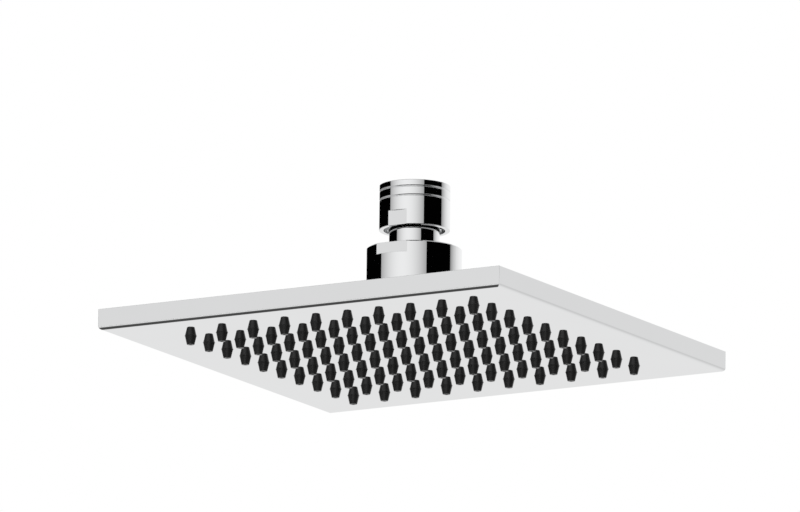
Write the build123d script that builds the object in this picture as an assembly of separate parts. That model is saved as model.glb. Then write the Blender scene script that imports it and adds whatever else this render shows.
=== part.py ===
from build123d import *

import os
from math import acos, cos, hypot, pi, radians, sin, sqrt

# Square overhead shower head on a ball joint. Sizes are millimetres, +Z is up, and the origin is the
# centre of the inlet's mouth: the supply pipe screws in from above and everything hangs below it.

# Inlet socket, neck and ball, turned in one piece
SOCKET_R = 15.5
SOCKET_LENGTH = 19.85
SOCKET_EDGE = 0.15
SHOULDER_CHAMFER = 0.5
GROOVE_DEPTHS = (2.85, 6.85)
GROOVE_WIDTH = 0.8
GROOVE_CUT = 0.4
SOCKET_FLAT_CUT = 0.7
SOCKET_FLAT_HEIGHT = 6.6
RECESS_DEPTH = 3.2
NECK_R = 11.05
NECK_COVE = 1.0
NECK_REACH = 8.4
BALL_FLAT_R = 7.0
WATERWAY_R = 5.0
WATERWAY_FLARE = 1.0

# Inlet thread (half-inch pipe, at its minor diameter) and what lies under it
THREAD_R = 9.3155
THREAD_CHAMFER = 0.8
THREAD_END_DEPTH = 10.3
RELIEF_CUT = 1.2845
WASHER_THICKNESS = 2.0
WASHER_TOP_GAP = 0.2
WASHER_BORE_R = 6.2
WASHER_GAP = 0.1
FILTER_R = 8.3
FILTER_THICKNESS = 0.8
FILTER_HOLE = 1.6
FILTER_PITCH = 2.6
FILTER_COUNT = 5
REGULATOR_R = 6.9
REGULATOR_HEIGHT = 5.8
REGULATOR_WALL = 0.9
REGULATOR_FLOOR = 1.4
REGULATOR_SLOTS = 6
REGULATOR_SLOT_R = 4.4
REGULATOR_SLOT_WIDTH = 1.2
REGULATOR_SLOT_LENGTH = 2.0
CORE_R = 2.6
CORE_VALLEY_R = 1.9
CORE_POINTS = 6
CORE_HEIGHT = 3.2
CORE_RING_GAP = 0.1
CORE_RING_WIDTH = 1.6
CORE_RING_HEIGHT = 1.6
POCKET_GAP = 0.1

# Ball joint: collar, bearing ring, seat and hub
TILT_LIMIT = 12.0
TILT_MARGIN = 1.0
BEARING_GAP = 0.05
SLIP_RING_WALL = 0.9
COLLAR_R = 20.86
COLLAR_HEIGHT = 27.2
COLLAR_WALL = 1.86
COLLAR_EDGE = 0.4
COLLAR_FLAT_CUT = 1.46
COLLAR_FLAT_HEIGHT = 5.0
COLLAR_FLARE = 0.6
COLLAR_SEAM = 0.3
COLLAR_TO_BALL = 12.5
HUB_THREAD_GAP = 0.1
HUB_THREAD_LENGTH = 10.0
HUB_BASE_HEIGHT = 8.4
HUB_WALL = 1.3
BALL_CUP_GAP = 0.6
BALL_HOLD = 1.2
HUB_WATER_R = 8.0
HUB_SPIGOT_R = 12.0
SEAT_INSET = 3.6
SEAT_HEIGHT = 4.66
SEAT_LAND = 1.0
SEAT_LIP = 1.9
SEAL_INSET = 1.5
SEAL_WIDTH = 2.0
SEAL_FLOOR = 0.9
SEAL_GAP = 0.03
SEAT_WASHER_THICKNESS = 2.0
GASKET_LAND = 2.0
GASKET_WIDTH = 3.0
GASKET_THICKNESS = 1.4
LOCK_NUT_WALL = 2.9
LOCK_NUT_THICKNESS = 1.6
LOCK_WASHER_WIDTH = 4.4
LOCK_WASHER_THICKNESS = 0.5
SPIGOT_GAP = 0.1

# Square head
HEAD_SIDE = 200.0
HEAD_HEIGHT = 9.1
HEAD_EDGE_ROUND = 1.6
FACE_WALL = 1.8
RIM_WALL = 1.6
RIM_LEDGE = 2.4
COVER_THICKNESS = 2.2
COVER_GAP = 0.1

# Nozzles, moulded with flats to keep a hundred of them light
NOZZLE_PITCH = 15.7
NOZZLE_MARGIN = 29.0
NOZZLE_ROOT_R = 2.95
NOZZLE_TIP_R = 1.65
NOZZLE_DROP = 3.9
NOZZLE_SIDES = 8
NOZZLE_GAP = 0.08
JET_R = 0.6
JET_SIDES = 6
MAT_THICKNESS = 1.2
MAT_MARGIN = 6.0

# Lattice that clamps the mat, and its screws
RETAINER_THICKNESS = 1.4
RETAINER_BORDER = 10.0
RETAINER_CLAMP = 2.0
RETAINER_RIB = 3.0
RETAINER_RIBS = 2
RETAINER_RIB_ROWS = 4
SCREW_HEAD_R = 2.6
SCREW_HEAD_HEIGHT = 1.5
SCREW_R = 1.4
SCREW_LENGTH = 3.2
SCREW_GAP = 0.1
SCREW_TIP_GAP = 0.2
BOSS_R = 3.2

# Radii of the ball joint, from the collar inwards: the ball is wider than the collar's opening, and that
# is wider than the socket, so the collar goes on from above and holds the ball
collar_bore_r = COLLAR_R - COLLAR_WALL
hub_thread_r = collar_bore_r - HUB_THREAD_GAP
hub_cup_r = hub_thread_r - HUB_WALL
ball_r = hub_cup_r - BALL_CUP_GAP
collar_opening_r = ball_r - BALL_HOLD
slip_inner_r = ball_r + BEARING_GAP
slip_outer_r = slip_inner_r + SLIP_RING_WALL
socket_sphere_r = slip_outer_r + BEARING_GAP
seat_sphere_r = ball_r + BEARING_GAP
seat_r = hub_cup_r - BEARING_GAP
seat_contact_r = ball_r - SEAT_INSET
seal_contact_r = seat_contact_r - SEAL_INSET
seat_bore_r = seal_contact_r - SEAT_LIP

# Radii round the inlet and the hub's spigot; the recess under the socket lies midway between the neck's
# cove and the flats, and its mouth midway from there to the socket's edge
relief_r = THREAD_R + RELIEF_CUT
recess_r = (NECK_R + NECK_COVE + SOCKET_R - SOCKET_FLAT_CUT) / 2
recess_mouth_r = (recess_r + SOCKET_R - SHOULDER_CHAMFER) / 2
spigot_hole_r = HUB_SPIGOT_R + SPIGOT_GAP
gasket_inner_r = HUB_SPIGOT_R + GASKET_LAND
gasket_outer_r = gasket_inner_r + GASKET_WIDTH

# Heights, from the inlet's mouth down
shoulder_z = -SOCKET_LENGTH
recess_z = shoulder_z + RECESS_DEPTH
thread_end_z = -THREAD_END_DEPTH
socket_floor_z = thread_end_z - WASHER_TOP_GAP - WASHER_THICKNESS
filter_ledge_z = socket_floor_z - FILTER_THICKNESS
pocket_floor_z = filter_ledge_z - REGULATOR_HEIGHT - POCKET_GAP
collar_top_z = shoulder_z - NECK_REACH
ball_z = collar_top_z - COLLAR_TO_BALL
ball_flat_z = ball_z - sqrt(ball_r**2 - BALL_FLAT_R**2)
collar_bottom_z = collar_top_z - COLLAR_HEIGHT
hub_base_top_z = collar_bottom_z - COLLAR_SEAM
hub_top_z = hub_base_top_z + HUB_THREAD_LENGTH
seat_bottom_z = ball_z - sqrt(seat_sphere_r**2 - seat_contact_r**2) - SEAT_HEIGHT
cup_floor_z = seat_bottom_z - BEARING_GAP - SEAT_WASHER_THICKNESS
head_top_z = hub_base_top_z - HUB_BASE_HEIGHT
cover_bottom_z = head_top_z - COVER_THICKNESS
lock_nut_top_z = cover_bottom_z - LOCK_WASHER_THICKNESS
lock_nut_bottom_z = lock_nut_top_z - LOCK_NUT_THICKNESS
face_z = head_top_z - HEAD_HEIGHT
mat_bottom_z = face_z + FACE_WALL
mat_top_z = mat_bottom_z + MAT_THICKNESS
retainer_top_z = mat_top_z + RETAINER_THICKNESS
nozzle_tip_z = face_z - NOZZLE_DROP

# Plan sizes of the head, with as many pairs of nozzle rows as its side takes
nozzle_rows = 2 * (int((HEAD_SIDE / 2 - NOZZLE_MARGIN) / NOZZLE_PITCH - 0.5) + 1)
mat_side = (nozzle_rows - 1) * NOZZLE_PITCH + 2 * MAT_MARGIN
retainer_side = mat_side + 2 * RETAINER_BORDER
screw_reach = (mat_side + RETAINER_BORDER) / 2
tray_side = HEAD_SIDE - 2 * (RIM_WALL + RIM_LEDGE)
rebate_side = HEAD_SIDE - 2 * RIM_WALL


def turned(*outline):
    """A solid turned about Z from the lines and arcs of its half section (radius, height)."""
    return revolve(Plane.XZ * make_face(list(outline)), Axis.Z)


def ring(inner_r, outer_r, bottom_z, top_z):
    """A flat washer."""
    return turned(
        Polyline((inner_r, bottom_z), (outer_r, bottom_z), (outer_r, top_z), (inner_r, top_z), close=True)
    )


def slab(side, bottom_z, top_z):
    """A square plate, centred on the axis."""
    return Pos(0, 0, bottom_z) * extrude(Rectangle(side, side), top_z - bottom_z)


def rise(sphere_r, r):
    """Height of a bearing sphere above its centre where it has a radius."""
    return sqrt(sphere_r**2 - r**2)


def tangent_rise(sphere_r, contact_r, r):
    """Height above the centre, at a radius, of the cone that touches a bearing sphere at another."""
    contact_rise = rise(sphere_r, contact_r)
    return contact_rise - (r - contact_r) * contact_r / contact_rise


def sphere_arc(sphere_r, start, end):
    """Arc of a bearing sphere in the half section, between two points on it."""
    middle = Vector((start[0] + end[0]) / 2, (start[1] + end[1]) / 2 - ball_z).normalized() * sphere_r
    return ThreePointArc(start, (middle.X, middle.Y + ball_z), end)


def wrench_flats(radius, cut, bottom_z, top_z):
    """The two blocks that mill opposite flats, a cut deep, into a round piece."""
    block = Box(2 * radius, radius, top_z - bottom_z, align=(Align.CENTER, Align.MIN, Align.MIN))
    milled = Pos(0, radius - cut, bottom_z) * block
    return [milled, Rot(0, 0, 180) * milled]


def frustum(sides, low_r, high_r, low_z, high_z):
    """A tapered prism with flat sides between two regular outlines."""
    turns = [2 * pi * (index + 0.5) / sides for index in range(sides)]
    return ConvexPolyhedron(
        [(r * cos(turn), r * sin(turn), z) for r, z in ((low_r, low_z), (high_r, high_z)) for turn in turns]
    )


def ball_connector():
    groove_points = []
    for depth in GROOVE_DEPTHS:
        groove_points += [
            (SOCKET_R, -depth + GROOVE_WIDTH / 2),
            (SOCKET_R - GROOVE_CUT, -depth),
            (SOCKET_R, -depth - GROOVE_WIDTH / 2),
        ]
    cove_start = (NECK_R + NECK_COVE, recess_z)
    cove_end = (NECK_R, recess_z - NECK_COVE)
    socket = Polyline(
        (THREAD_R + THREAD_CHAMFER, 0),
        (SOCKET_R - SOCKET_EDGE, 0),
        (SOCKET_R, -SOCKET_EDGE),
        *groove_points,
        (SOCKET_R, shoulder_z + SHOULDER_CHAMFER),
        (SOCKET_R - SHOULDER_CHAMFER, shoulder_z),
        (recess_mouth_r, shoulder_z),
        (recess_r, shoulder_z + recess_mouth_r - recess_r),
        (recess_r, recess_z),
        cove_start,
    )
    cove = TangentArc(cove_start, cove_end, tangent=(-1, 0))
    ball_start = (NECK_R, ball_z + rise(ball_r, NECK_R))
    ball_end = (BALL_FLAT_R, ball_flat_z)
    waterway = Polyline(
        ball_end,
        (WATERWAY_R + WATERWAY_FLARE, ball_flat_z),
        (WATERWAY_R, ball_flat_z + WATERWAY_FLARE),
        (WATERWAY_R, pocket_floor_z),
        (REGULATOR_R + POCKET_GAP, pocket_floor_z),
        (REGULATOR_R + POCKET_GAP, filter_ledge_z),
        (FILTER_R + POCKET_GAP, filter_ledge_z),
        (FILTER_R + POCKET_GAP, socket_floor_z),
        (relief_r, socket_floor_z),
        (relief_r, thread_end_z),
        (THREAD_R, thread_end_z),
        (THREAD_R, -THREAD_CHAMFER),
        (THREAD_R + THREAD_CHAMFER, 0),
    )
    body = turned(
        socket,
        cove,
        Line(cove_end, ball_start),
        ThreePointArc(ball_start, (ball_r, ball_z), ball_end),
        waterway,
    )
    flats = wrench_flats(SOCKET_R, SOCKET_FLAT_CUT, shoulder_z, shoulder_z + SOCKET_FLAT_HEIGHT)
    return body - flats


def inlet_washer():
    return ring(WASHER_BORE_R, relief_r - WASHER_GAP, socket_floor_z, socket_floor_z + WASHER_THICKNESS)


def filter_screen():
    disc = Pos(0, 0, filter_ledge_z) * extrude(Circle(FILTER_R), FILTER_THICKNESS)
    hole = Pos(0, 0, filter_ledge_z) * extrude(Rectangle(FILTER_HOLE, FILTER_HOLE), FILTER_THICKNESS)
    reach = FILTER_R - FILTER_HOLE
    places = GridLocations(FILTER_PITCH, FILTER_PITCH, FILTER_COUNT, FILTER_COUNT)
    return disc - [place * hole for place in places if hypot(place.position.X, place.position.Y) < reach]


def regulator_body():
    top_z = pocket_floor_z + REGULATOR_HEIGHT
    floor_z = pocket_floor_z + REGULATOR_FLOOR
    cup = turned(
        Polyline(
            (0, pocket_floor_z),
            (REGULATOR_R, pocket_floor_z),
            (REGULATOR_R, top_z),
            (REGULATOR_R - REGULATOR_WALL, top_z),
            (REGULATOR_R - REGULATOR_WALL, floor_z),
            (0, floor_z),
            close=True,
        )
    )
    slot = Pos(0, 0, pocket_floor_z) * extrude(
        Rectangle(REGULATOR_SLOT_WIDTH, REGULATOR_SLOT_LENGTH), REGULATOR_FLOOR
    )
    return cup - [place * slot for place in PolarLocations(REGULATOR_SLOT_R, REGULATOR_SLOTS)]


def regulator_core():
    step = pi / CORE_POINTS
    star = Polyline(
        *[
            (radius * cos(index * step), radius * sin(index * step))
            for index in range(2 * CORE_POINTS)
            for radius in [CORE_VALLEY_R if index % 2 else CORE_R]
        ],
        close=True,
    )
    return Pos(0, 0, pocket_floor_z + REGULATOR_FLOOR) * extrude(make_face(star), CORE_HEIGHT)


def regulator_ring():
    inner_r = CORE_R + CORE_RING_GAP
    bottom_z = pocket_floor_z + REGULATOR_FLOOR
    return ring(inner_r, inner_r + CORE_RING_WIDTH, bottom_z, bottom_z + CORE_RING_HEIGHT)


def slip_ring():
    """Its outside is a sphere that the tilting collar slides on, its bore a cone that touches the ball."""
    lip_angle = acos(collar_opening_r / socket_sphere_r)
    top_rise = slip_outer_r * sin(lip_angle - radians(TILT_LIMIT + TILT_MARGIN))
    contact_r = rise(slip_inner_r, top_rise / 2)
    cone_slope = top_rise / 2 / contact_r
    outer_low = (slip_outer_r, ball_z)
    outer_high = (rise(slip_outer_r, top_rise), ball_z + top_rise)
    inner_high = (contact_r - top_rise / 2 * cone_slope, ball_z + top_rise)
    inner_low = (contact_r + top_rise / 2 * cone_slope, ball_z)
    return turned(
        sphere_arc(slip_outer_r, outer_low, outer_high),
        Polyline(outer_high, inner_high, inner_low, outer_low),
    )


def seat_cone_z(r):
    """Height of the seat's cone at a radius: it touches the ball from below."""
    return ball_z - tangent_rise(seat_sphere_r, seat_contact_r, r)


def ball_seat():
    rim_r = seat_r - SEAT_LAND
    groove_inner_r = seal_contact_r - SEAL_WIDTH / 2
    groove_outer_r = seal_contact_r + SEAL_WIDTH / 2
    groove_z = seat_bottom_z + SEAL_FLOOR
    return turned(
        Polyline(
            (seat_bore_r, seat_bottom_z),
            (seat_r, seat_bottom_z),
            (seat_r, seat_cone_z(rim_r)),
            (rim_r, seat_cone_z(rim_r)),
            (groove_outer_r, seat_cone_z(groove_outer_r)),
            (groove_outer_r, groove_z),
            (groove_inner_r, groove_z),
            (groove_inner_r, seat_cone_z(groove_inner_r)),
            (seat_bore_r, seat_cone_z(seat_bore_r)),
            close=True,
        )
    )


def ball_seal():
    inner_r = seal_contact_r - SEAL_WIDTH / 2 + SEAL_GAP
    outer_r = seal_contact_r + SEAL_WIDTH / 2 - SEAL_GAP
    bottom_z = seat_bottom_z + SEAL_FLOOR
    return turned(
        Polyline(
            (inner_r, bottom_z),
            (outer_r, bottom_z),
            (outer_r, ball_z - tangent_rise(seat_sphere_r, seal_contact_r, outer_r)),
            (inner_r, ball_z - tangent_rise(seat_sphere_r, seal_contact_r, inner_r)),
            close=True,
        )
    )


def retaining_collar():
    lip = (collar_opening_r, ball_z + rise(socket_sphere_r, collar_opening_r))
    equator = (socket_sphere_r, ball_z)
    body = turned(
        Polyline(
            lip,
            (collar_opening_r, collar_top_z - COLLAR_FLARE),
            (collar_opening_r + COLLAR_FLARE, collar_top_z),
            (COLLAR_R - COLLAR_EDGE, collar_top_z),
            (COLLAR_R, collar_top_z - COLLAR_EDGE),
            (COLLAR_R, collar_bottom_z + COLLAR_EDGE),
            (COLLAR_R - COLLAR_EDGE, collar_bottom_z),
            (collar_bore_r, collar_bottom_z),
            (collar_bore_r, hub_top_z),
            (socket_sphere_r, hub_top_z),
            equator,
        ),
        sphere_arc(socket_sphere_r, equator, lip),
    )
    flats = wrench_flats(COLLAR_R, COLLAR_FLAT_CUT, collar_top_z - COLLAR_FLAT_HEIGHT, collar_top_z)
    return body - flats


def head_hub():
    return turned(
        Polyline(
            (HUB_WATER_R, lock_nut_bottom_z),
            (HUB_SPIGOT_R, lock_nut_bottom_z),
            (HUB_SPIGOT_R, head_top_z),
            (gasket_inner_r, head_top_z),
            (gasket_inner_r, head_top_z + GASKET_THICKNESS),
            (gasket_outer_r, head_top_z + GASKET_THICKNESS),
            (gasket_outer_r, head_top_z),
            (COLLAR_R, head_top_z),
            (COLLAR_R, hub_base_top_z - COLLAR_EDGE),
            (COLLAR_R - COLLAR_EDGE, hub_base_top_z),
            (hub_thread_r, hub_base_top_z),
            (hub_thread_r, hub_top_z),
            (hub_cup_r, hub_top_z),
            (hub_cup_r, cup_floor_z),
            (HUB_WATER_R, cup_floor_z),
            close=True,
        )
    )


def seat_washer():
    return ring(seat_bore_r, hub_cup_r - WASHER_GAP, cup_floor_z, cup_floor_z + SEAT_WASHER_THICKNESS)


def hub_gasket():
    return ring(
        gasket_inner_r + SEAL_GAP, gasket_outer_r - SEAL_GAP, head_top_z, head_top_z + GASKET_THICKNESS
    )


def lock_nut_washer():
    return ring(spigot_hole_r, spigot_hole_r + LOCK_WASHER_WIDTH, lock_nut_top_z, cover_bottom_z)


def hub_lock_nut():
    nut = RegularPolygon(spigot_hole_r + LOCK_NUT_WALL, 6, major_radius=False) - Circle(spigot_hole_r)
    return Pos(0, 0, lock_nut_bottom_z) * extrude(nut, LOCK_NUT_THICKNESS)


def back_cover():
    cover = slab(rebate_side - 2 * COVER_GAP, cover_bottom_z, head_top_z)
    spigot_hole = Pos(0, 0, cover_bottom_z) * extrude(Circle(spigot_hole_r), COVER_THICKNESS)
    return cover - spigot_hole


def nozzle_places():
    return GridLocations(NOZZLE_PITCH, NOZZLE_PITCH, nozzle_rows, nozzle_rows)


def screw_places():
    """One screw at each corner of the lattice's border."""
    return GridLocations(2 * screw_reach, 2 * screw_reach, 2, 2)


def nozzle_r_at(z):
    """Radius of a nozzle's taper at a height."""
    share = (mat_bottom_z - z) / (mat_bottom_z - nozzle_tip_z)
    return NOZZLE_ROOT_R + share * (NOZZLE_TIP_R - NOZZLE_ROOT_R)


def spray_face():
    tray = slab(HEAD_SIDE, face_z, head_top_z)
    tray = fillet(tray.edges().group_by(Axis.Z)[0], HEAD_EDGE_ROUND)
    tray -= slab(tray_side, mat_bottom_z, head_top_z)
    tray -= slab(rebate_side, cover_bottom_z, head_top_z)
    boss = Pos(0, 0, mat_bottom_z) * extrude(Circle(BOSS_R), MAT_THICKNESS)
    tray += [place * boss for place in screw_places()]
    hole = frustum(
        NOZZLE_SIDES,
        nozzle_r_at(face_z) + NOZZLE_GAP,
        nozzle_r_at(mat_bottom_z) + NOZZLE_GAP,
        face_z,
        mat_bottom_z,
    )
    pilot_z = retainer_top_z - SCREW_LENGTH - SCREW_TIP_GAP
    pilot = Pos(0, 0, pilot_z) * extrude(Circle(SCREW_R + SCREW_GAP), mat_top_z - pilot_z)
    return tray - [place * hole for place in nozzle_places()] - [place * pilot for place in screw_places()]


def nozzle_mat():
    web = slab(mat_side, mat_bottom_z, mat_top_z)
    nozzle = frustum(NOZZLE_SIDES, NOZZLE_TIP_R, NOZZLE_ROOT_R, nozzle_tip_z, mat_bottom_z)
    jet = frustum(JET_SIDES, JET_R, JET_R, nozzle_tip_z, mat_top_z)
    web += [place * nozzle for place in nozzle_places()]
    return web - [place * jet for place in nozzle_places()]


def mat_retainer():
    opening_side = mat_side - 2 * RETAINER_CLAMP
    plate = Rectangle(retainer_side, retainer_side) - Rectangle(opening_side, opening_side)
    rib_step = RETAINER_RIB_ROWS * NOZZLE_PITCH
    rib = Rectangle(RETAINER_RIB, opening_side)
    ribs = [place * rib for place in GridLocations(rib_step, 0, RETAINER_RIBS, 1)]
    plate += ribs + [Rot(0, 0, 90) * rib for rib in ribs]
    plate -= [place * Circle(SCREW_R + SCREW_GAP) for place in screw_places()]
    return Pos(0, 0, mat_top_z) * extrude(plate, RETAINER_THICKNESS)


def retainer_screws():
    tip_z = retainer_top_z - SCREW_LENGTH
    screw = turned(
        Polyline(
            (0, tip_z),
            (SCREW_R, tip_z),
            (SCREW_R, retainer_top_z),
            (SCREW_HEAD_R, retainer_top_z),
            (SCREW_HEAD_R, retainer_top_z + SCREW_HEAD_HEIGHT),
            (0, retainer_top_z + SCREW_HEAD_HEIGHT),
            close=True,
        )
    )
    return Compound([place * screw for place in screw_places()])


PIECES = (
    ball_connector,
    inlet_washer,
    filter_screen,
    regulator_body,
    regulator_core,
    regulator_ring,
    slip_ring,
    ball_seat,
    ball_seal,
    retaining_collar,
    head_hub,
    seat_washer,
    hub_gasket,
    lock_nut_washer,
    hub_lock_nut,
    back_cover,
    spray_face,
    nozzle_mat,
    mat_retainer,
    retainer_screws,
)

os.makedirs("parts", exist_ok=True)
for piece in PIECES:
    export_step(piece(), f"parts/{piece.__name__}.step")
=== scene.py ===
import math

import bmesh
import bpy
from mathutils import Matrix, Vector


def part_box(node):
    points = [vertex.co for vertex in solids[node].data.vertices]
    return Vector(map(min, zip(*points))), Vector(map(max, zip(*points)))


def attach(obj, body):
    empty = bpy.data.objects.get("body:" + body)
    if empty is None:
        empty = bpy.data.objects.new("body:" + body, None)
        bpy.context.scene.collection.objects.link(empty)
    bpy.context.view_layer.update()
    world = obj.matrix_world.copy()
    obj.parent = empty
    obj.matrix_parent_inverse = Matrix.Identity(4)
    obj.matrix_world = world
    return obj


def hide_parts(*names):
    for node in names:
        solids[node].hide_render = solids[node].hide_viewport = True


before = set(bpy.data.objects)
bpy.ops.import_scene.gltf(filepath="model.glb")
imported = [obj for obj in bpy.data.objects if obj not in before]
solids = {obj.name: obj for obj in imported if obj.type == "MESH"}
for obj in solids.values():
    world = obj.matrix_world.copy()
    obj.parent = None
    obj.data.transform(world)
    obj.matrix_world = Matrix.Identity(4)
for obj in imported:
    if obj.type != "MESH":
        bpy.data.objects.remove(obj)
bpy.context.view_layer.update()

# Inlet connector: socket, neck and ball, turned from one brass bar, polished and chromed. Two fine
# grooves run round its mouth, flats for a spanner are milled on its foot, and the pipe's thread is cut
# inside. It is fixed to the supply pipe, and everything else hangs on its ball.
MM = 0.001
TURN_STEPS = 192
EDGE_STEPS = 6
COVE_STEPS = 12
BALL_STEPS = 64
SHARP_ANGLE = math.radians(16)

SOCKET_R = 15.5
MOUTH_CHAMFER = 0.15
MOUTH_EDGE = 0.12
GROOVE_DEPTHS = (2.85, 6.85)
GROOVE_WIDTH = 0.8
GROOVE_CUT = 0.4
GROOVE_EDGE = 0.26
SHOULDER_Z = -19.85
SHOULDER_CHAMFER = 0.15
SHOULDER_EDGE = 0.05
SOCKET_FLAT = 14.8
SOCKET_FLAT_TOP_Z = -13.25
FLAT_CUTTER_WIDTH = 34
FLAT_CUTTER_OVERRUN = 1
RECESS_R = 13.425
RECESS_Z = -16.65
RECESS_EDGE = 0.1
NECK_R = 11.05
NECK_COVE = 1.0
BALL_R = 17.0
BALL_Z = -40.75
BALL_FLAT_R = 7.0
WATERWAY_R = 5.0
WATERWAY_FLARE = 1.0
POCKET_R = 7.0
POCKET_Z = -19.2
LEDGE_R = 8.4
LEDGE_Z = -13.3
RELIEF_R = 10.6
RELIEF_Z = -12.5
THREAD_R = 9.3155
THREAD_ROOT_R = 10.4775
THREAD_PITCH = 1.814
THREAD_TOP_Z = -0.8
THREAD_END_Z = -10.3
THREAD_RUN_IN = 1.2
THREAD_ROWS_PER_TURN = 16
THREAD_TOLERANCE = 0.001

CHROME_COLOURS = ((0.905, 0.91, 0.915), (0.925, 0.93, 0.935))
CHROME_ROUGHNESS = (0.012, 0.028)
WIPE_MARKS = {"per_metre": 38, "detail": 3.0}
PLATING_GRAIN = {"per_metre": 240}
PLATING_ROUGHNESS = 0.006
POLISHED_EDGE_SAMPLES = 6
CONNECTOR_POLISHED_EDGE = 0.1


def arc(centre_r, centre_z, radius, start, end, steps):
    """Points of a half section along a round stretch, between two angles in degrees."""
    angles = [math.radians(start + (end - start) * step / steps) for step in range(steps + 1)]
    return [(centre_r + radius * math.cos(a), centre_z + radius * math.sin(a)) for a in angles]


def broken_edges(outline, steps=EDGE_STEPS):
    """The closed half section with a small radius at each corner that states one as its third value."""
    points = []
    for index, corner in enumerate(outline):
        here = Vector(corner[:2])
        if len(corner) == 2:
            points.append(here)
            continue
        radius = corner[2]
        before = (Vector(outline[index - 1][:2]) - here).normalized()
        after = (Vector(outline[(index + 1) % len(outline)][:2]) - here).normalized()
        half = before.angle(after) / 2
        centre = here + (before + after).normalized() * radius / math.sin(half)
        start = here + before * radius / math.tan(half) - centre
        end = here + after * radius / math.tan(half) - centre
        for step in range(steps + 1):
            points.append(centre + start.slerp(end, step / steps).normalized() * radius)
    return points


def spun(points, steps, centre=(0, 0), first=0, closed=True):
    """Vertices and faces of a half section in millimetres, turned about an upright axis."""
    vertices = []
    faces = []
    rows = len(points)
    strips = rows if closed else rows - 1
    for step in range(steps):
        angle = math.tau * step / steps
        for r, z in points:
            x = centre[0] + r * math.cos(angle)
            y = centre[1] + r * math.sin(angle)
            vertices.append((x * MM, y * MM, z * MM))
        here = first + step * rows
        there = first + (step + 1) % steps * rows
        for row in range(strips):
            next_row = (row + 1) % rows
            faces.append((here + row, there + row, there + next_row, here + next_row))
    return vertices, faces


def new_piece(name, vertices, faces):
    """A closed mesh object with its normals outwards."""
    mesh = bpy.data.meshes.new(name)
    mesh.from_pydata(vertices, [], faces)
    shell = bmesh.new()
    shell.from_mesh(mesh)
    bmesh.ops.recalc_face_normals(shell, faces=shell.faces)
    shell.to_mesh(mesh)
    shell.free()
    piece = bpy.data.objects.new(name, mesh)
    bpy.context.scene.collection.objects.link(piece)
    return piece


def keep_result(piece):
    """Applies a piece's modifiers to its mesh."""
    graph = bpy.context.evaluated_depsgraph_get()
    made = bpy.data.meshes.new_from_object(piece.evaluated_get(graph))
    old = piece.data
    piece.modifiers.clear()
    piece.data = made
    bpy.data.meshes.remove(old)
    made.name = piece.name


def cut_thread(piece):
    """Moves the plain bore's vertices out to a helical groove that fades in from the mouth."""
    for vertex in piece.data.vertices:
        x, y, z = vertex.co / MM
        in_bore = abs(math.hypot(x, y) - THREAD_R) < THREAD_TOLERANCE
        if in_bore and z > THREAD_END_Z - THREAD_TOLERANCE:
            turns = z / THREAD_PITCH + math.atan2(y, x) / math.tau
            run_in = min(1.0, (THREAD_TOP_Z - z) / THREAD_RUN_IN)
            depth = (THREAD_ROOT_R - THREAD_R) * run_in * (1 - math.cos(math.tau * turns)) / 2
            vertex.co.xy *= (THREAD_R + depth) / THREAD_R


def mill_flats(piece, reach, radius, bottom_z, top_z):
    """Cuts two opposite flats, at a distance from the axis along Y, out of a turned piece."""
    cutter = bmesh.new()
    size = Vector((FLAT_CUTTER_WIDTH, radius, top_z - bottom_z)) * MM
    for side in (-1, 1):
        middle = Vector((0, side * (reach + radius / 2), (top_z + bottom_z) / 2)) * MM
        for corner in bmesh.ops.create_cube(cutter, size=1.0)["verts"]:
            corner.co = corner.co * size + middle
    mesh = bpy.data.meshes.new("flats_cutter")
    cutter.to_mesh(mesh)
    cutter.free()
    tool = bpy.data.objects.new("flats_cutter", mesh)
    bpy.context.scene.collection.objects.link(tool)
    cut = piece.modifiers.new("flats", "BOOLEAN")
    cut.operation = "DIFFERENCE"
    cut.solver = "EXACT"
    cut.object = tool
    keep_result(piece)
    bpy.data.objects.remove(tool)
    bpy.data.meshes.remove(mesh)


def polish_shading(piece):
    """Smooth shading that keeps flat faces flat and real edges crisp."""
    for face in piece.data.polygons:
        face.use_smooth = True
    piece.data.set_sharp_from_angle(angle=SHARP_ANGLE)
    even = piece.modifiers.new("even_normals", "WEIGHTED_NORMAL")
    even.keep_sharp = True
    keep_result(piece)


class Wire:
    """A shader socket in Python maths. Its node method adds any other node to the same tree."""

    def __init__(self, tree, socket=None):
        self.tree = tree
        self.socket = socket

    def node(self, kind, settings=(), sockets=(), output=0):
        """A new node with its settings and then its sockets filled, as the wire from one output."""
        made = self.tree.nodes.new(kind)
        for name, value in dict(settings).items():
            setattr(made, name, value)
        for key, value in dict(sockets).items():
            self.feed(made.inputs[key], value)
        return Wire(self.tree, made.outputs[output])

    def feed(self, target, value):
        """Links a wire to a socket, or sets a plain value on it."""
        if isinstance(value, Wire):
            self.tree.links.new(value.socket, target)
        else:
            target.default_value = value

    def maths(self, operation, *values):
        """A Math node on wires and numbers."""
        return self.node("ShaderNodeMath", {"operation": operation}, enumerate(values))

    def __add__(self, other):
        return self.maths("ADD", self, other)

    def __radd__(self, other):
        return self.maths("ADD", other, self)

    def __sub__(self, other):
        return self.maths("SUBTRACT", self, other)

    def __rsub__(self, other):
        return self.maths("SUBTRACT", other, self)

    def __mul__(self, other):
        return self.maths("MULTIPLY", self, other)

    def __rmul__(self, other):
        return self.maths("MULTIPLY", other, self)

    def __truediv__(self, other):
        return self.maths("DIVIDE", self, other)

    def __rtruediv__(self, other):
        return self.maths("DIVIDE", other, self)

    def __pow__(self, other):
        return self.maths("POWER", self, other)

    def __rpow__(self, other):
        return self.maths("POWER", other, self)

    def __abs__(self):
        return self.maths("ABSOLUTE", self)

    def __gt__(self, other):
        return self.maths("GREATER_THAN", self, other)

    def __lt__(self, other):
        return self.maths("LESS_THAN", self, other)


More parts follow.
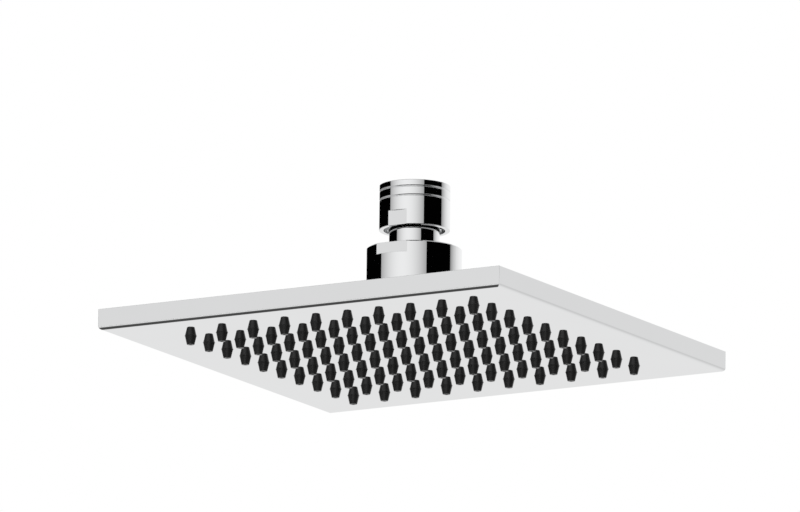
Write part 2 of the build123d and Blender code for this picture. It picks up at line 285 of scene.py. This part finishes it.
def new_finish(name, uniform):
    """A material, its shader's sockets with the uniform values set, and a wire that adds nodes to it."""
    material = bpy.data.materials.new(name)
    material.use_nodes = True
    shader = material.node_tree.nodes["Principled BSDF"]
    for socket, value in uniform.items():
        shader.inputs[socket].default_value = value
    return material, shader.inputs, Wire(material.node_tree)


def grain(wire, per_metre, detail=2.0, stretch=(1, 1, 1)):
    """Noise over the piece, so many blotches to the metre, longer along an axis with a small stretch."""
    place = wire.node("ShaderNodeTexCoord", output="Object")
    place = wire.node("ShaderNodeVectorMath", {"operation": "MULTIPLY"}, {0: place, 1: stretch})
    return wire.node("ShaderNodeTexNoise", sockets={"Vector": place, "Scale": per_metre, "Detail": detail})


def two_tone(mask, low, high):
    """A colour that goes from one to another with a mask."""
    sockets = {0: mask, 6: (*low, 1), 7: (*high, 1)}
    return mask.node("ShaderNodeMix", {"data_type": "RGBA"}, sockets, output=2)


def spread(mask, low, high):
    """A value that goes from one to another with a mask."""
    return low + (high - low) * mask


def polished_chrome(name, edge):
    """Bright chrome plate: a hint of cloudiness from wiping, and edges softened by polishing."""
    material, shader, wire = new_finish(name, {"Metallic": 1.0})
    wiped = grain(wire, **WIPE_MARKS)
    plating = grain(wire, **PLATING_GRAIN)
    softened = wire.node("ShaderNodeBevel", {"samples": POLISHED_EDGE_SAMPLES}, {"Radius": edge * MM})
    wire.feed(shader["Base Color"], two_tone(wiped, *CHROME_COLOURS))
    wire.feed(shader["Roughness"], spread(wiped, *CHROME_ROUGHNESS) + PLATING_ROUGHNESS * plating)
    wire.feed(shader["Normal"], softened)
    return material


mouth_r = THREAD_R - THREAD_TOP_Z
grooves = []
for depth in GROOVE_DEPTHS:
    grooves += [
        (SOCKET_R, -depth + GROOVE_WIDTH / 2, GROOVE_EDGE),
        (SOCKET_R - GROOVE_CUT, -depth, GROOVE_EDGE),
        (SOCKET_R, -depth - GROOVE_WIDTH / 2, GROOVE_EDGE),
    ]
neck_foot_angle = math.degrees(math.acos(NECK_R / BALL_R))
ball_flat_angle = -math.degrees(math.acos(BALL_FLAT_R / BALL_R))
ball_flat_z = BALL_Z + BALL_R * math.sin(math.radians(ball_flat_angle))
thread_rows = round((THREAD_TOP_Z - THREAD_END_Z) / THREAD_PITCH * THREAD_ROWS_PER_TURN)
thread_step = (THREAD_TOP_Z - THREAD_END_Z) / thread_rows
connector_outline = [
    (mouth_r, 0, MOUTH_EDGE),
    (SOCKET_R - MOUTH_CHAMFER, 0, MOUTH_EDGE),
    (SOCKET_R, -MOUTH_CHAMFER, MOUTH_EDGE),
    *grooves,
    (SOCKET_R, SHOULDER_Z + SHOULDER_CHAMFER, SHOULDER_EDGE),
    (SOCKET_R - SHOULDER_CHAMFER, SHOULDER_Z, SHOULDER_EDGE),
    (RECESS_R, SHOULDER_Z, RECESS_EDGE),
    (RECESS_R, RECESS_Z),
    *arc(NECK_R + NECK_COVE, RECESS_Z - NECK_COVE, NECK_COVE, 90, 180, COVE_STEPS),
    *arc(0, BALL_Z, BALL_R, neck_foot_angle, ball_flat_angle, BALL_STEPS),
    (WATERWAY_R + WATERWAY_FLARE, ball_flat_z),
    (WATERWAY_R, ball_flat_z + WATERWAY_FLARE),
    (WATERWAY_R, POCKET_Z),
    (POCKET_R, POCKET_Z),
    (POCKET_R, LEDGE_Z),
    (LEDGE_R, LEDGE_Z),
    (LEDGE_R, RELIEF_Z),
    (RELIEF_R, RELIEF_Z),
    (RELIEF_R, THREAD_END_Z),
    *[(THREAD_R, THREAD_END_Z + row * thread_step) for row in range(thread_rows + 1)],
]
connector = new_piece("inlet_connector", *spun(broken_edges(connector_outline), TURN_STEPS))
cut_thread(connector)
mill_flats(connector, SOCKET_FLAT, SOCKET_R, SHOULDER_Z - FLAT_CUTTER_OVERRUN, SOCKET_FLAT_TOP_Z)
polish_shading(connector)
connector.data.materials.append(polished_chrome("connector_chrome", CONNECTOR_POLISHED_EDGE))
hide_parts("ball_connector")
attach(connector, "inlet_body")

# Inlet washer, regulator's ring, joint seals and hub gasket: rings of black rubber, punched or moulded.
# They lie in their seats between the harder pieces; the regulator's ring meters the flow.
RUBBER_COLOURS = ((0.012, 0.012, 0.013), (0.035, 0.035, 0.036))
RUBBER_ROUGHNESS = (0.55, 0.75)
RUBBER_DUST = {"per_metre": 120, "detail": 4.0}
RUBBER_SKIN = {"per_metre": 2600, "strength": 0.25, "depth": 0.05}


def fine_skin(wire, per_metre, strength, depth):
    """A fine grain all over the surface, as its normal; the depth is in millimetres."""
    bump = {"Height": grain(wire, per_metre), "Strength": strength, "Distance": depth * MM}
    return wire.node("ShaderNodeBump", sockets=bump)


def seal_rubber(name):
    """Dull black rubber, greyer where dust from the mould clings to it."""
    material, shader, wire = new_finish(name, {"Specular IOR Level": 0.35})
    dusty = grain(wire, **RUBBER_DUST)
    wire.feed(shader["Base Color"], two_tone(dusty, *RUBBER_COLOURS))
    wire.feed(shader["Roughness"], spread(dusty, *RUBBER_ROUGHNESS))
    wire.feed(shader["Normal"], fine_skin(wire, **RUBBER_SKIN))
    return material


def dress(names, material):
    """Gives solids that keep their shape their finish."""
    for name in names:
        solids[name].material_slots[0].material = material


dress(
    ("inlet_washer", "regulator_ring", "ball_seal", "seat_washer", "hub_gasket"),
    seal_rubber("black_seal_rubber"),
)

# Filter screen, lock-nut washer and retainer screws: punched and turned stainless steel, left with the
# fine lines of the sheet. The screen lies under the inlet washer, the rest is closed inside the head.
STEEL_COLOURS = ((0.5, 0.49, 0.47), (0.66, 0.65, 0.63))
STEEL_ROUGHNESS = (0.2, 0.38)
SHEET_LINES = {"per_metre": 900, "stretch": (1, 0.06, 1)}


def stainless_sheet(name):
    """Bare steel with rolling lines along Y."""
    material, shader, wire = new_finish(name, {"Metallic": 1.0})
    lines = grain(wire, **SHEET_LINES)
    wire.feed(shader["Base Color"], two_tone(lines, *STEEL_COLOURS))
    wire.feed(shader["Roughness"], spread(lines, *STEEL_ROUGHNESS))
    return material


dress(("filter_screen", "lock_nut_washer", "retainer_screws"), stainless_sheet("stainless_steel"))

# Flow regulator's cup and star, and the lattice over the nozzle mat: injection-moulded white plastic
# with a fine matt skin from the mould. The regulator drops into its pocket, the lattice is screwed down.
WHITE_COLOURS = ((0.76, 0.76, 0.74), (0.84, 0.84, 0.82))
PLASTIC_ROUGHNESS = (0.38, 0.52)
PLASTIC_FLOW = {"per_metre": 90, "detail": 3.0}
PLASTIC_SKIN = {"per_metre": 3200, "strength": 0.15, "depth": 0.03}


def matt_plastic(name, low, high):
    """Plain engineering plastic, a little cloudy, with a fine matt skin."""
    material, shader, wire = new_finish(name, {"IOR": 1.48})
    flow = grain(wire, **PLASTIC_FLOW)
    wire.feed(shader["Base Color"], two_tone(flow, low, high))
    wire.feed(shader["Roughness"], spread(flow, *PLASTIC_ROUGHNESS))
    wire.feed(shader["Normal"], fine_skin(wire, **PLASTIC_SKIN))
    return material


dress(
    ("regulator_body", "regulator_core", "mat_retainer"),
    matt_plastic("white_plastic", *WHITE_COLOURS),
)

# Slip ring and ball seat: turned from ivory bearing plastic, one above the ball's middle and one below
# it. They carry the ball inside the collar and let it turn without metal on metal.
IVORY_COLOURS = ((0.7, 0.67, 0.58), (0.78, 0.75, 0.66))

dress(("slip_ring", "ball_seat"), matt_plastic("bearing_plastic", *IVORY_COLOURS))

# Retaining collar and hub: turned brass, chromed. The collar drops over the socket, screws onto the hub
# and holds the ball from above; two flats take a spanner. The hub's spigot goes through the head's cover.
COLLAR_POLISHED_EDGE = 0.12

dress(("retaining_collar", "head_hub"), polished_chrome("collar_chrome", COLLAR_POLISHED_EDGE))

# Hub lock nut: a thin hexagon of bare turned brass that clamps the hub to the cover from inside.
# Its faces keep the tool's fine marks.
BRASS_COLOURS = ((0.66, 0.45, 0.17), (0.8, 0.6, 0.28))
BRASS_ROUGHNESS = (0.22, 0.38)
TOOL_MARKS = {"per_metre": 700, "stretch": (1, 1, 0.1)}


def turned_brass(name):
    """Bare brass with fine marks, drawn out along the axis."""
    material, shader, wire = new_finish(name, {"Metallic": 1.0})
    marks = grain(wire, **TOOL_MARKS)
    wire.feed(shader["Base Color"], two_tone(marks, *BRASS_COLOURS))
    wire.feed(shader["Roughness"], spread(marks, *BRASS_ROUGHNESS))
    return material


dress(("hub_lock_nut",), turned_brass("bare_brass"))

# Head: a square tray whose underside is the spray face, and a cover set into its rim. Both are moulded
# plastic under bright chrome plate, welded together, with the tray's lower edge rounded over.
HEAD_POLISHED_EDGE = 0.2

dress(("back_cover", "spray_face"), polished_chrome("head_chrome", HEAD_POLISHED_EDGE))

# Nozzle mat: one moulding of black silicone. A flat web lies on the inside of the spray face, and a
# tapered nozzle with a fine jet stands through each hole, soft enough to rub the lime off.
NOZZLE_ROWS = 10
NOZZLE_PITCH = 15.7
NOZZLE_STEPS = 32
NOZZLE_EDGE_STEPS = 3
MAT_THICKNESS = 1.2
NOZZLE_ROOT_R = 2.35
NOZZLE_ROOT_DEPTH = 0.5
NOZZLE_LIP_R = 2.66
NOZZLE_LIP = 0.06
NOZZLE_LIP_EDGE = 0.03
NOZZLE_LIP_CLEARANCE = 0.005
NOZZLE_FACE_R = 2.52
NOZZLE_FACE_DROP = 0.096
NOZZLE_FACE_EDGE = 0.05
NOZZLE_TIP_R = 1.65
NOZZLE_TIP_EDGE = 0.3
JET_R = 0.6
JET_EDGE = 0.12
JET_DEPTH = 3.0

SILICONE_COLOURS = ((0.004, 0.004, 0.004), (0.007, 0.007, 0.007))
SILICONE_ROUGHNESS = (0.13, 0.21)
SILICONE_BLOOM = {"per_metre": 160, "detail": 3.0}
SILICONE_SKIN = {"per_metre": 3800, "strength": 0.08, "depth": 0.02}

mat_low, mat_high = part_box("nozzle_mat")
mat_half = mat_high.x / MM
mat_top_z = mat_high.z / MM
mat_bottom_z = mat_top_z - MAT_THICKNESS
face_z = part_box("spray_face")[0].z / MM
tip_z = mat_low.z / MM
nozzle_outline = [
    (NOZZLE_ROOT_R, mat_bottom_z + NOZZLE_ROOT_DEPTH),
    (NOZZLE_ROOT_R, face_z - NOZZLE_LIP_CLEARANCE),
    (NOZZLE_LIP_R, face_z - NOZZLE_LIP_CLEARANCE),
    (NOZZLE_LIP_R, face_z - NOZZLE_LIP, NOZZLE_LIP_EDGE),
    (NOZZLE_FACE_R, face_z - NOZZLE_FACE_DROP, NOZZLE_FACE_EDGE),
    (NOZZLE_TIP_R, tip_z, NOZZLE_TIP_EDGE),
    (JET_R, tip_z, JET_EDGE),
    (JET_R, tip_z + JET_DEPTH),
]


def nozzle_field(outline):
    """Vertices and faces of the web's slab and of every nozzle, closed at its root and in its jet."""
    vertices = [
        (x * mat_half * MM, y * mat_half * MM, z * MM)
        for z in (mat_bottom_z, mat_top_z)
        for x, y in ((-1, -1), (1, -1), (1, 1), (-1, 1))
    ]
    faces = [(0, 3, 2, 1), (4, 5, 6, 7), (0, 1, 5, 4), (1, 2, 6, 5), (2, 3, 7, 6), (3, 0, 4, 7)]
    rows = len(outline)
    places = [(place - (NOZZLE_ROWS - 1) / 2) * NOZZLE_PITCH for place in range(NOZZLE_ROWS)]
    for y in places:
        for x in places:
            first = len(vertices)
            more_vertices, more_faces = spun(outline, NOZZLE_STEPS, (x, y), first, closed=False)
            vertices += more_vertices
            faces += more_faces
            for end in (0, rows - 1):
                faces.append([first + step * rows + end for step in range(NOZZLE_STEPS)])
    return vertices, faces


def black_silicone(name):
    """Deep black, slightly glossy silicone with a faint bloom."""
    material, shader, wire = new_finish(name, {"IOR": 1.43, "Specular IOR Level": 0.44})
    bloom = grain(wire, **SILICONE_BLOOM)
    wire.feed(shader["Base Color"], two_tone(bloom, *SILICONE_COLOURS))
    wire.feed(shader["Roughness"], spread(bloom, *SILICONE_ROUGHNESS))
    wire.feed(shader["Normal"], fine_skin(wire, **SILICONE_SKIN))
    return material


nozzles = new_piece(
    "nozzle_mat_moulding",
    *nozzle_field(broken_edges(nozzle_outline, NOZZLE_EDGE_STEPS)),
)
polish_shading(nozzles)
nozzles.data.materials.append(black_silicone("black_silicone"))
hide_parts("nozzle_mat")
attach(nozzles, "spray_head")

# Floor: a plain pale round of board well below the head, painted matt. It is seen from above only, so
# that a camera under it still sees the spray face. Its sizes are in metres.
FLOOR_DROP = 2.4
FLOOR_R = 0.38
FLOOR_STEPS = 96
PAINT_COLOURS = ((0.86, 0.86, 0.86), (0.9, 0.9, 0.9))
PAINT_ROUGHNESS = (0.8, 0.9)
PAINT_CLOUDS = {"per_metre": 12}
PAINT_GRAIN = {"per_metre": 400}


def matt_paint(name):
    """Pale matt paint that only a ray from the front of a face sees."""
    material, shader, wire = new_finish(name, {"Specular IOR Level": 0.1})
    nodes = material.node_tree.nodes
    wire.feed(shader["Base Color"], two_tone(grain(wire, **PAINT_CLOUDS), *PAINT_COLOURS))
    wire.feed(shader["Roughness"], spread(grain(wire, **PAINT_GRAIN), *PAINT_ROUGHNESS))
    painted = Wire(material.node_tree, nodes["Principled BSDF"].outputs[0])
    unseen = wire.node("ShaderNodeBsdfTransparent")
    below = wire.node("ShaderNodeNewGeometry", output="Backfacing")
    one_sided = wire.node("ShaderNodeMixShader", sockets={0: below, 1: painted, 2: unseen})
    wire.feed(nodes["Material Output"].inputs["Surface"], one_sided)
    return material


rim = [math.tau * step / FLOOR_STEPS for step in range(FLOOR_STEPS)]
floor_mesh = bpy.data.meshes.new("floor")
floor_mesh.from_pydata(
    [(FLOOR_R * math.cos(angle), FLOOR_R * math.sin(angle), -FLOOR_DROP) for angle in rim],
    [],
    [tuple(range(FLOOR_STEPS))],
)
floor_mesh.materials.append(matt_paint("floor_paint"))
floor = bpy.data.objects.new("floor", floor_mesh)
bpy.context.scene.collection.objects.link(floor)

# Studio: plain white for the camera. The chrome mirrors two tall light panels with dark gaps between
# them, a low panel, a grey ground with a dark strip, and a dim ceiling; scattered light is soft. Angles
# are in degrees, round from the photograph's side to the right, and up from the horizon.
VIEW_AZIMUTH = 30.02
VIEW_ELEVATION = -12.17
FRONT_PANEL = {"start": -86, "end": 30, "bright_at": -28.5, "reach": 78, "peak": 0.9, "fall": 2}
BACK_PANEL = {"start": 98, "end": 198, "bright_at": 165, "reach": 75, "peak": 0.935, "fall": 3}
PANEL_TOP = 36
FRONT_PANEL_FOOT = -10.5
LOW_PANEL_TOP = -13.4
LOW_PANEL_FOOT = -45
LOW_PANEL_GAIN = 1.25
BACK_PANEL_DIMMING = 0.13
CEILING_START = 84
CEILING_FOOT = 16
CEILING_LIGHT = 0.5
GROUND_TOP = 8.5
GROUND_LIGHT = 0.3
GAP_LIGHT = 0.0004
OVERHEAD_LIGHT = 1.1
KEY_LIGHT = 1.2
FILL_LIGHT = 0.3
WHITE = (1, 1, 1, 1)
DEGREES = math.degrees(1)


def between(value, low, high):
    """One between two limits, and nothing outside them."""
    return (value > low) * (value < high)


def panel(turn, start, end, bright_at, reach, peak, fall):
    """Brightness of a light panel at an angle round the object, falling off from its brightest line."""
    return between(turn, start, end) * peak * (1 - (abs(turn - bright_at) / reach) ** fall)


world = bpy.data.worlds.new("studio")
bpy.context.scene.world = world
world.use_nodes = True
world.cycles.sampling_method = "NONE"
room = Wire(world.node_tree)
direction = room.node("ShaderNodeTexCoord", output="Generated")
x, y, z = (room.node("ShaderNodeSeparateXYZ", sockets={0: direction}, output=axis) for axis in "XYZ")

# At azimuth 0 the camera stands on the -Y side.
azimuth = math.radians(VIEW_AZIMUTH)
elevation = math.radians(VIEW_ELEVATION)
turn = room.maths("ARCTAN2", y, x) * DEGREES + (90 - VIEW_AZIMUTH)
front_turn = room.maths("WRAP", turn, 180, -180)
back_turn = room.maths("WRAP", turn, 360, 0)
height = room.maths("ARCSINE", z) * DEGREES
overhead = height > PANEL_TOP

# The front panel has a dark slot between its foot and the low panel.
low_panel = LOW_PANEL_GAIN * between(height, LOW_PANEL_FOOT, LOW_PANEL_TOP)
front = panel(front_turn, **FRONT_PANEL) * ((height > FRONT_PANEL_FOOT) + low_panel)
back = panel(back_turn, **BACK_PANEL) * (1 - BACK_PANEL_DIMMING * (height < 0))
ceiling = CEILING_LIGHT * (abs(front_turn) > CEILING_START) * (height > CEILING_FOOT)
in_front = between(front_turn, FRONT_PANEL["start"], FRONT_PANEL["end"])
slot = in_front * between(height, LOW_PANEL_TOP, FRONT_PANEL_FOOT)
ground = GROUND_LIGHT * (height < GROUND_TOP) * (1 - slot)
around = room.maths("MAXIMUM", (1 - overhead) * (front + back), ceiling)
lit = room.maths("MAXIMUM", around, ground)

# The strip is what the head's rounded lower edge along X mirrors, seen from the photograph's side. Its
# place, half width, top and fade are measured on a unit direction, along X and up.
STRIP_HALF = 0.05
STRIP_TOP = -0.37
STRIP_FADE = 0.3
STRIP_LIGHT = 0.063
strip_x = -math.cos(elevation) * math.sin(azimuth)
deep = room.maths("MINIMUM", room.maths("MAXIMUM", (STRIP_TOP - z) / STRIP_FADE, 0), 1)
strip = (abs(x - strip_x) < STRIP_HALF) * deep
mirrored = GAP_LIGHT + lit * (1 - strip) + STRIP_LIGHT * strip

facing = room.maths("COSINE", (turn - FRONT_PANEL["bright_at"]) / DEGREES)
key = KEY_LIGHT * room.maths("MAXIMUM", facing, 0)
scattered = overhead * OVERHEAD_LIGHT + (1 - overhead) * (FILL_LIGHT + key)
camera_ray = room.node("ShaderNodeLightPath", output="Is Camera Ray")
diffuse_ray = room.node("ShaderNodeLightPath", output="Is Diffuse Ray")
strength = camera_ray + diffuse_ray * scattered + (1 - camera_ray - diffuse_ray) * mirrored
background = world.node_tree.nodes["Background"]
background.inputs["Color"].default_value = WHITE
room.feed(background.inputs["Strength"], strength)

# Camera: a very long lens, a little below the head and looking up at it, as in the photograph. It aims
# at a point beside the joint, which sets the framing. Its place is in metres.
VIEW_ROLL = 0.686
VIEW_DISTANCE = 9.6816
VIEW_TARGET = (-0.00708, 0, -0.03031)
LENS_MM = 1000
SENSOR_MM = 36
FAR_CLIP = 40

camera = bpy.data.objects.new("camera", bpy.data.cameras.new("camera"))
bpy.context.scene.collection.objects.link(camera)
camera.data.sensor_width = SENSOR_MM
camera.data.lens = LENS_MM
camera.data.clip_end = FAR_CLIP
camera.matrix_world = (
    Matrix.Translation(VIEW_TARGET)
    @ Matrix.Rotation(azimuth, 4, "Z")
    @ Matrix.Rotation(math.pi / 2 - elevation, 4, "X")
    @ Matrix.Rotation(math.radians(VIEW_ROLL), 4, "Z")
    @ Matrix.Translation((0, 0, VIEW_DISTANCE))
)
bpy.context.scene.camera = camera
bpy.context.scene.view_settings.view_transform = "Standard"
